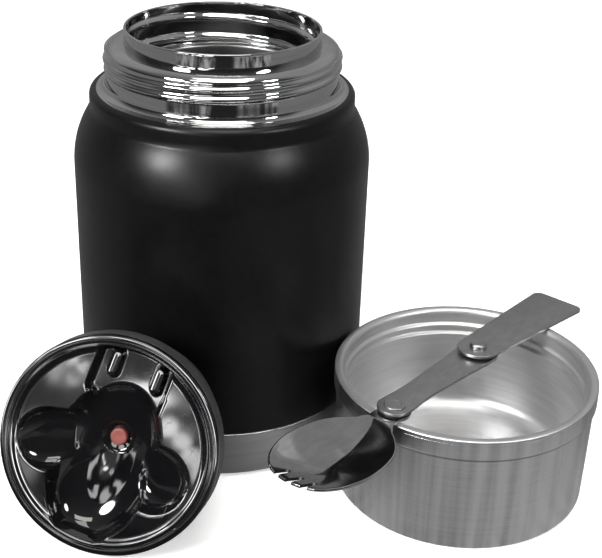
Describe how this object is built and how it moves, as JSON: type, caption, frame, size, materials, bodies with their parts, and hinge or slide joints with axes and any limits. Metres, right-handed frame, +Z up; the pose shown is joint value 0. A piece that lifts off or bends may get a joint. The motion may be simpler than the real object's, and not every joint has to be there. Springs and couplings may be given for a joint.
{
  "type": "insulated food jar",
  "caption": "Open insulated steel food jar with its screw-in stopper leaning beside it, its double-walled cup, and a folding spork laid across the cup.",
  "frame": {"origin": "on the jar's axis, on the table it stands on", "axes": "+Z up along the jar's axis, -Y towards the front, +X to the side where the cup stands"},
  "size_m": [0.1983, 0.1696, 0.1436],
  "materials": {
    "powder_coat": "matt black powder coat",
    "polished_steel": "polished stainless steel",
    "satin_steel": "satin stainless steel",
    "brushed_steel": "stainless steel brushed round the axis",
    "glass_bead": "sealing bead",
    "getter": "sintered",
    "matte_black": "matt",
    "gloss_black": "high gloss",
    "foam": "foam",
    "grey_rubber": "silicone",
    "red_rubber": "matt silicone",
    "dark_washer": "matt"
  },
  "bodies": {
    "jar": {"outer_shell": "powder_coat", "neck_ring": "polished_steel", "liner": "satin_steel", "base_cap": "brushed_steel", "shell_floor": "satin_steel", "vacuum_plug": "glass_bead", "getter": "getter"},
    "stopper": {"stopper_body": "matte_black", "stopper_cover": "gloss_black", "plug_floor": "matte_black", "plug_insulation": "foam", "stopper_gasket": "grey_rubber", "valve_spring": "satin_steel"},
    "button": {"pressure_button": "red_rubber", "valve_stem": "satin_steel", "valve_seal": "grey_rubber"},
    "cup": {"cup_outer": "brushed_steel", "cup_inner": "satin_steel"},
    "spork": {"spork_bowl": "polished_steel", "bowl_rivet": "satin_steel", "bowl_washer": "dark_washer"},
    "spork_middle": {"middle_link": "satin_steel", "middle_rivet": "satin_steel", "middle_washer": "dark_washer"},
    "spork_handle": {"end_link": "satin_steel"}
  },
  "joints": [
    {"name": "stopper_lift", "type": "slide", "parent": "jar", "child": "stopper", "axis": [0, 0, 1], "range_m": [0, 0.15]},
    {"name": "button_press", "type": "slide", "parent": "stopper", "child": "button", "axis": [0.2302, 0.9233, -0.3074], "range_m": [0, 0.0015], "stiffness_N_per_m": 400, "springref_m": -0.002, "deforming": ["valve_spring"]},
    {"name": "cup_lift", "type": "slide", "parent": "jar", "child": "cup", "axis": [0, 0, 1], "range_m": [0, 0.15]},
    {"name": "spork_lift", "type": "slide", "parent": "cup", "child": "spork", "axis": [0, 0, 1], "range_m": [0, 0.1]},
    {"name": "middle_fold", "type": "hinge", "parent": "spork", "child": "spork_middle", "pos_m": [0.05312, -0.07612, 0.04185], "axis": [0.0303, 0.0331, 0.999], "range_deg": [-180, 0]},
    {"name": "handle_fold", "type": "hinge", "parent": "spork_middle", "child": "spork_handle", "pos_m": [0.08606, -0.04017, 0.03966], "axis": [0.0303, 0.0331, 0.999], "range_deg": [-180, 0]}
  ]
}
